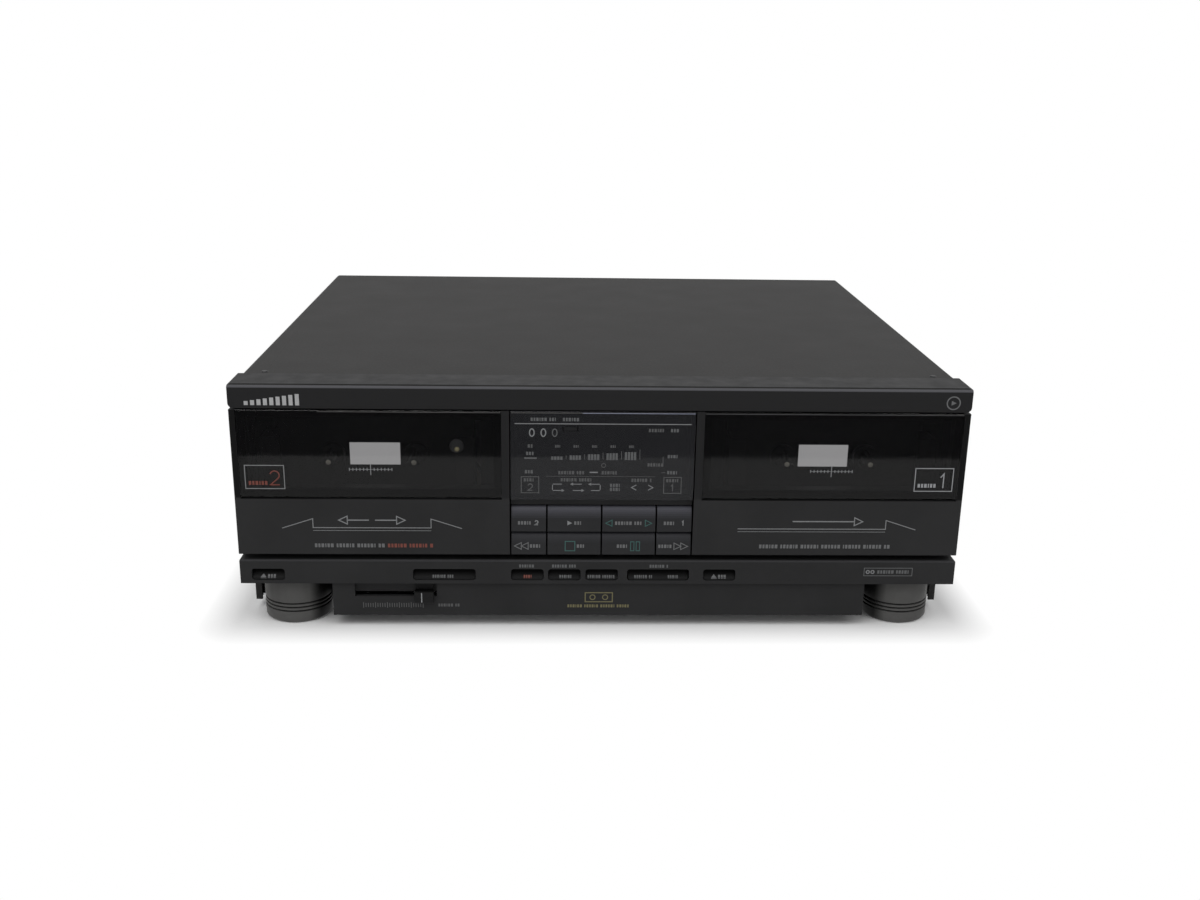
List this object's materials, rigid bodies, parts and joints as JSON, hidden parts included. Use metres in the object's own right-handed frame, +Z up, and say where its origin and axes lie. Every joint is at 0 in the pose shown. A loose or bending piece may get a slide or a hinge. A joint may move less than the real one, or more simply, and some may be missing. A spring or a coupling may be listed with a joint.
{
  "type": "double cassette deck",
  "caption": "Midi-width stereo cassette deck with tilting smoked doors, a central display and key block, a strip of push buttons, a level slider and ringed drum feet.",
  "frame": {"origin": "centre of the bounding box's floor plan, on the shelf the feet stand on", "axes": "+X to the right seen from the front, +Y to the back, +Z up"},
  "size_m": [0.3616, 0.3206, 0.1261],
  "materials": {
    "panel_plastic": "fine satin",
    "door_plastic": "fine satin",
    "cover_paint": "fine textured paint",
    "chassis_steel": "zinc plated",
    "rear_paint": "matt",
    "foot_plastic": "matt",
    "screw_steel": "blackened",
    "smoked_window": "polished smoked acrylic",
    "holder_plastic": "matt",
    "pin_steel": "satin",
    "display_tube": "glossy",
    "key_plastic": "satin",
    "button_plastic": "satin",
    "circuit_board": "lacquered",
    "transformer_iron": "varnished",
    "socket_plastic": "moulded",
    "reflector_white": "matt white",
    "transport_paint": "matt black",
    "spindle_plastic": "satin",
    "flywheel_brass": "turned",
    "motor_steel": "plated",
    "drive_rubber": "matt",
    "head_chrome": "polished"
  },
  "bodies": {
    "cabinet": {"front_panel": "panel_plastic", "top_cover": "cover_paint", "chassis_base": "chassis_steel", "rear_panel": "rear_paint", "feet": "foot_plastic", "case_screws": "screw_steel", "hinge_pins": "pin_steel", "display_window": "smoked_window", "display_board": "display_tube", "control_board": "circuit_board", "main_board": "circuit_board", "power_transformer": "transformer_iron", "phono_sockets": "socket_plastic", "mains_inlet": "socket_plastic", "reflectors": "reflector_white", "transport_frame_b": "transport_paint", "capstan_motor_b": "motor_steel", "drive_belt_b": "drive_rubber", "transport_frame_a": "transport_paint", "capstan_motor_a": "motor_steel", "drive_belt_a": "drive_rubber"},
    "tilting_door_b": {"door_b": "door_plastic", "door_window_b": "smoked_window", "cassette_holder_b": "holder_plastic"},
    "tilting_door_a": {"door_a": "door_plastic", "door_window_a": "smoked_window", "cassette_holder_a": "holder_plastic"},
    "key_deck_b_body": {"key_deck_b": "key_plastic"},
    "key_play_body": {"key_play": "key_plastic"},
    "key_direction_body": {"key_direction": "key_plastic"},
    "key_deck_a_body": {"key_deck_a": "key_plastic"},
    "key_rewind_body": {"key_rewind": "key_plastic"},
    "key_stop_body": {"key_stop": "key_plastic"},
    "key_pause_body": {"key_pause": "key_plastic"},
    "key_forward_body": {"key_forward": "key_plastic"},
    "eject_button_b_body": {"eject_button_b": "button_plastic"},
    "noise_button_body": {"noise_button": "button_plastic"},
    "record_button_body": {"record_button": "button_plastic"},
    "mode_button_body": {"mode_button": "button_plastic"},
    "synchro_button_body": {"synchro_button": "button_plastic"},
    "eject_button_a_body": {"eject_button_a": "button_plastic"},
    "counter_reset_button_body": {"counter_reset_button": "button_plastic"},
    "dubbing_rocker_body": {"dubbing_rocker": "button_plastic"},
    "level_slider_body": {"level_slider_knob": "button_plastic"},
    "left_spindle_b_body": {"left_spindle_b": "spindle_plastic"},
    "right_spindle_b_body": {"right_spindle_b": "spindle_plastic"},
    "left_spindle_a_body": {"left_spindle_a": "spindle_plastic"},
    "right_spindle_a_body": {"right_spindle_a": "spindle_plastic"},
    "right_flywheel_b_body": {"right_flywheel_b": "flywheel_brass"},
    "left_flywheel_b_body": {"left_flywheel_b": "flywheel_brass"},
    "flywheel_a_body": {"flywheel_a": "flywheel_brass"},
    "motor_pulley_b_body": {"motor_pulley_b": "flywheel_brass"},
    "motor_pulley_a_body": {"motor_pulley_a": "flywheel_brass"},
    "head_bridge_b_body": {"head_bridge_b": "pin_steel", "tape_head_b": "head_chrome"},
    "head_bridge_a_body": {"head_bridge_a": "pin_steel", "tape_head_a": "head_chrome"},
    "left_pinch_roller_b_body": {"left_pinch_roller_b": "drive_rubber"},
    "right_pinch_roller_b_body": {"right_pinch_roller_b": "drive_rubber"},
    "pinch_roller_a_body": {"pinch_roller_a": "drive_rubber"}
  },
  "joints": [
    {"name": "door_b_hinge", "type": "hinge", "parent": "cabinet", "child": "tilting_door_b", "pos_m": [-0.11265, -0.15335, 0.045], "axis": [1, 0, 0], "range_deg": [0, 25]},
    {"name": "door_a_hinge", "type": "hinge", "parent": "cabinet", "child": "tilting_door_a", "pos_m": [0.11265, -0.15335, 0.045], "axis": [1, 0, 0], "range_deg": [0, 25]},
    {"name": "key_deck_b_press", "type": "slide", "parent": "cabinet", "child": "key_deck_b_body", "axis": [0, 1, 0], "range_m": [0, 0.001], "stiffness_N_per_m": 400},
    {"name": "key_play_press", "type": "slide", "parent": "cabinet", "child": "key_play_body", "axis": [0, 1, 0], "range_m": [0, 0.001], "stiffness_N_per_m": 400},
    {"name": "key_direction_press", "type": "slide", "parent": "cabinet", "child": "key_direction_body", "axis": [0, 1, 0], "range_m": [0, 0.001], "stiffness_N_per_m": 400},
    {"name": "key_deck_a_press", "type": "slide", "parent": "cabinet", "child": "key_deck_a_body", "axis": [0, 1, 0], "range_m": [0, 0.001], "stiffness_N_per_m": 400},
    {"name": "key_rewind_press", "type": "slide", "parent": "cabinet", "child": "key_rewind_body", "axis": [0, 1, 0], "range_m": [0, 0.001], "stiffness_N_per_m": 400},
    {"name": "key_stop_press", "type": "slide", "parent": "cabinet", "child": "key_stop_body", "axis": [0, 1, 0], "range_m": [0, 0.001], "stiffness_N_per_m": 400},
    {"name": "key_pause_press", "type": "slide", "parent": "cabinet", "child": "key_pause_body", "axis": [0, 1, 0], "range_m": [0, 0.001], "stiffness_N_per_m": 400},
    {"name": "key_forward_press", "type": "slide", "parent": "cabinet", "child": "key_forward_body", "axis": [0, 1, 0], "range_m": [0, 0.001], "stiffness_N_per_m": 400},
    {"name": "eject_button_b_press", "type": "slide", "parent": "cabinet", "child": "eject_button_b_body", "axis": [0, 1, 0], "range_m": [0, 0.001], "stiffness_N_per_m": 400},
    {"name": "noise_button_press", "type": "slide", "parent": "cabinet", "child": "noise_button_body", "axis": [0, 1, 0], "range_m": [0, 0.001], "stiffness_N_per_m": 400},
    {"name": "record_button_press", "type": "slide", "parent": "cabinet", "child": "record_button_body", "axis": [0, 1, 0], "range_m": [0, 0.001], "stiffness_N_per_m": 400},
    {"name": "mode_button_press", "type": "slide", "parent": "cabinet", "child": "mode_button_body", "axis": [0, 1, 0], "range_m": [0, 0.001], "stiffness_N_per_m": 400},
    {"name": "synchro_button_press", "type": "slide", "parent": "cabinet", "child": "synchro_button_body", "axis": [0, 1, 0], "range_m": [0, 0.001], "stiffness_N_per_m": 400},
    {"name": "eject_button_a_press", "type": "slide", "parent": "cabinet", "child": "eject_button_a_body", "axis": [0, 1, 0], "range_m": [0, 0.001], "stiffness_N_per_m": 400},
    {"name": "counter_reset_button_press", "type": "slide", "parent": "cabinet", "child": "counter_reset_button_body", "axis": [0, 1, 0], "range_m": [0, 0.001], "stiffness_N_per_m": 400},
    {"name": "dubbing_rocker_tilt", "type": "hinge", "parent": "cabinet", "child": "dubbing_rocker_body", "pos_m": [0.029, -0.15235, 0.0286], "axis": [0, 0, 1], "range_deg": [-4, 4], "stiffness_Nm_per_rad": 0.05},
    {"name": "level_slider_slide", "type": "slide", "parent": "cabinet", "child": "level_slider_body", "axis": [1, 0, 0], "range_m": [-0.029, 0.001]},
    {"name": "left_spindle_b_spin", "type": "hinge", "parent": "cabinet", "child": "left_spindle_b_body", "pos_m": [-0.1363, -0.12885, 0.0828], "axis": [0, 1, 0], "continuous": true},
    {"name": "right_spindle_b_spin", "type": "hinge", "parent": "cabinet", "child": "right_spindle_b_body", "pos_m": [-0.0938, -0.12885, 0.0828], "axis": [0, 1, 0], "continuous": true},
    {"name": "left_spindle_a_spin", "type": "hinge", "parent": "cabinet", "child": "left_spindle_a_body", "pos_m": [0.0938, -0.12885, 0.0828], "axis": [0, 1, 0], "continuous": true},
    {"name": "right_spindle_a_spin", "type": "hinge", "parent": "cabinet", "child": "right_spindle_a_body", "pos_m": [0.1363, -0.12885, 0.0828], "axis": [0, 1, 0], "continuous": true},
    {"name": "right_flywheel_b_spin", "type": "hinge", "parent": "cabinet", "child": "right_flywheel_b_body", "pos_m": [-0.08155, -0.12255, 0.0575], "axis": [0, 1, 0], "continuous": true},
    {"name": "left_flywheel_b_spin", "type": "hinge", "parent": "cabinet", "child": "left_flywheel_b_body", "pos_m": [-0.14855, -0.12255, 0.0575], "axis": [0, 1, 0], "continuous": true},
    {"name": "flywheel_a_spin", "type": "hinge", "parent": "cabinet", "child": "flywheel_a_body", "pos_m": [0.14855, -0.12255, 0.0575], "axis": [0, 1, 0], "continuous": true},
    {"name": "motor_pulley_b_spin", "type": "hinge", "parent": "cabinet", "child": "motor_pulley_b_body", "pos_m": [-0.15105, -0.12255, 0.0928], "axis": [0, 1, 0], "continuous": true},
    {"name": "motor_pulley_a_spin", "type": "hinge", "parent": "cabinet", "child": "motor_pulley_a_body", "pos_m": [0.10505, -0.12255, 0.0928], "axis": [0, 1, 0], "continuous": true},
    {"name": "head_bridge_b_lift", "type": "slide", "parent": "cabinet", "child": "head_bridge_b_body", "axis": [0, 0, 1], "range_m": [0, 0.0087], "stiffness_N_per_m": 40},
    {"name": "head_bridge_a_lift", "type": "slide", "parent": "cabinet", "child": "head_bridge_a_body", "axis": [0, 0, 1], "range_m": [0, 0.0087], "stiffness_N_per_m": 40},
    {"name": "left_pinch_roller_b_spin", "type": "hinge", "parent": "head_bridge_b_body", "child": "left_pinch_roller_b_body", "pos_m": [-0.14855, -0.14385, 0.0407], "axis": [0, 1, 0], "continuous": true},
    {"name": "right_pinch_roller_b_spin", "type": "hinge", "parent": "head_bridge_b_body", "child": "right_pinch_roller_b_body", "pos_m": [-0.08155, -0.14385, 0.0407], "axis": [0, 1, 0], "continuous": true},
    {"name": "pinch_roller_a_spin", "type": "hinge", "parent": "head_bridge_a_body", "child": "pinch_roller_a_body", "pos_m": [0.14855, -0.14385, 0.0407], "axis": [0, 1, 0], "continuous": true}
  ],
  "couplings": [
    {"joint": "left_flywheel_b_spin", "follows": "right_flywheel_b_spin", "ratio": -1},
    {"joint": "motor_pulley_b_spin", "follows": "right_flywheel_b_spin", "ratio": 4.3333},
    {"joint": "motor_pulley_a_spin", "follows": "flywheel_a_spin", "ratio": 4.3333}
  ]
}
